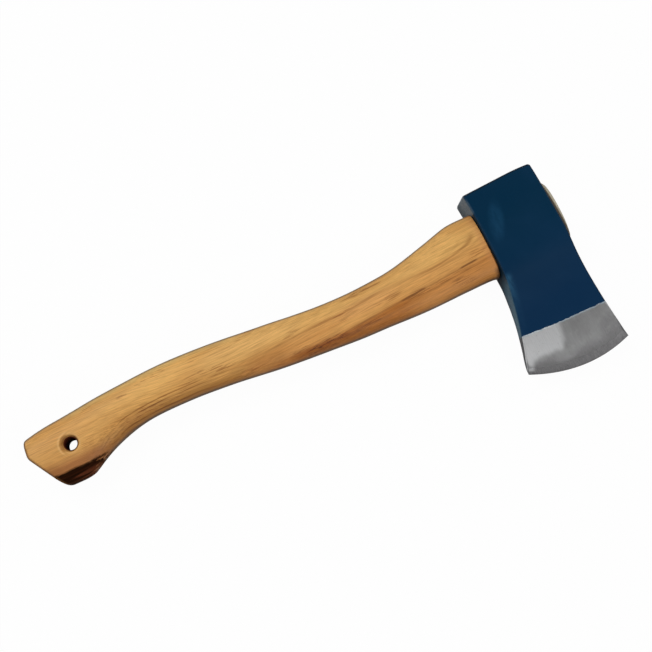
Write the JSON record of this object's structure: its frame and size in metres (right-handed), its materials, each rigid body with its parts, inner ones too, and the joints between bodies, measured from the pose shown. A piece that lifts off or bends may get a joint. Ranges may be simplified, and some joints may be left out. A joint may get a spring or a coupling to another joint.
{
  "type": "hatchet",
  "caption": "One-hand camp hatchet: painted forged steel head with a ground bit, wedged on a curved hickory haft with a lanyard hole in its fawn's-foot end.",
  "frame": {"origin": "on the flat of the lower cheek, under the middle of the eye; the hatchet lies on that cheek", "axes": "+X along the haft towards the top of the head (the butt is at -X), +Y towards the poll (the cutting edge is at -Y), +Z through the thickness from the lower cheek to the upper cheek"},
  "size_m": [0.3535, 0.1252, 0.025],
  "materials": {
    "enamelled_forged_steel": "satin",
    "oiled_hickory": "satin",
    "wedge_hardwood": "matte",
    "wedge_steel": "satin"
  },
  "bodies": {
    "root": {"axe_head": "enamelled_forged_steel", "haft": "oiled_hickory", "wooden_wedge": "wedge_hardwood", "steel_wedge_front": "wedge_steel", "steel_wedge_rear": "wedge_steel"}
  },
  "joints": []
}
